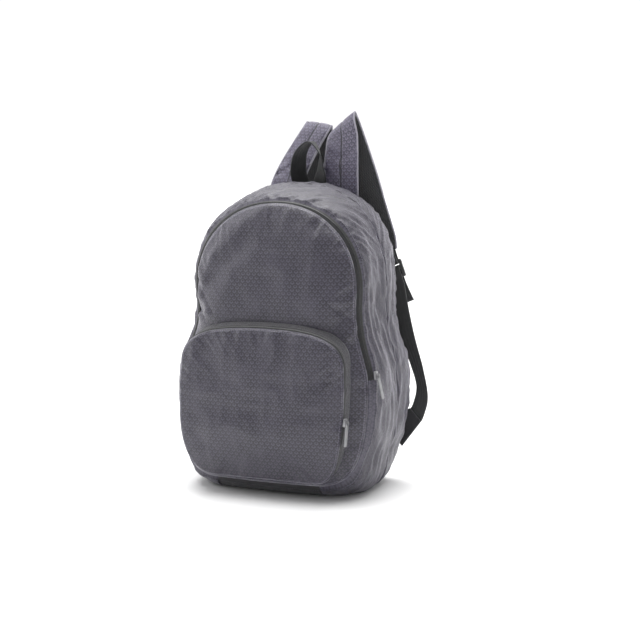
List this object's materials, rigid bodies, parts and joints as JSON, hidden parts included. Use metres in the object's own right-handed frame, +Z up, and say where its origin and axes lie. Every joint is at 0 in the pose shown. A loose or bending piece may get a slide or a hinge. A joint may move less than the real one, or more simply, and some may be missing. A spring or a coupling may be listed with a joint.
{
  "type": "backpack",
  "caption": "Light packable daypack: arched main compartment with a wrap-over zip, domed zip pocket on the front, flat padded shoulder straps with webbing and ladder locks, and a haul loop.",
  "frame": {"origin": "middle of the flat base, on the floor that the bag stands on", "axes": "+Z up towards the haul loop and straps, -Y towards the front pocket, +X towards the bag's side that the strap marked right is on"},
  "size_m": [0.3474, 0.2523, 0.5163],
  "materials": {
    "printed_cloth": "slate nylon with a small geometric print, slight sheen",
    "black_cloth": "plain charcoal nylon, slight sheen",
    "black_mesh": "matte charcoal air mesh",
    "black_webbing": "matte black woven webbing",
    "zip_tape": "black coil zip on woven tape",
    "dark_metal": "satin grey metal",
    "grey_plastic": "satin grey moulded plastic"
  },
  "bodies": {
    "bag": {"front_panel": "printed_cloth", "gusset_front": "printed_cloth", "gusset_rear": "printed_cloth", "base_panel": "black_cloth", "back_panel": "black_mesh", "main_zip": "zip_tape", "main_zip_slider": "dark_metal", "pocket_face": "printed_cloth", "pocket_gusset": "black_cloth", "pocket_zip": "zip_tape", "pocket_zip_slider": "dark_metal", "strap_right": "printed_cloth", "strap_lining_right": "black_mesh", "ladder_lock_right": "grey_plastic", "lock_tab_right": "black_webbing", "strap_anchor_right": "black_cloth", "webbing_right": "black_webbing", "strap_left": "printed_cloth", "strap_lining_left": "black_mesh", "ladder_lock_left": "grey_plastic", "lock_tab_left": "black_webbing", "strap_anchor_left": "black_cloth", "webbing_left": "black_webbing", "haul_loop": "black_webbing"},
    "main_pull": {"main_zip_pull": "dark_metal"},
    "pocket_pull": {"pocket_zip_pull": "dark_metal"}
  },
  "joints": [
    {"name": "main_pull_hinge", "type": "hinge", "parent": "bag", "child": "main_pull", "pos_m": [0.14941, -0.06849, 0.16927], "axis": [-0.0068, -0.9976, 0.0692], "range_deg": [0, 150]},
    {"name": "pocket_pull_hinge", "type": "hinge", "parent": "bag", "child": "pocket_pull", "pos_m": [0.12328, -0.11427, 0.11244], "axis": [0.0114, -0.9979, 0.0642], "range_deg": [0, 150]}
  ]
}
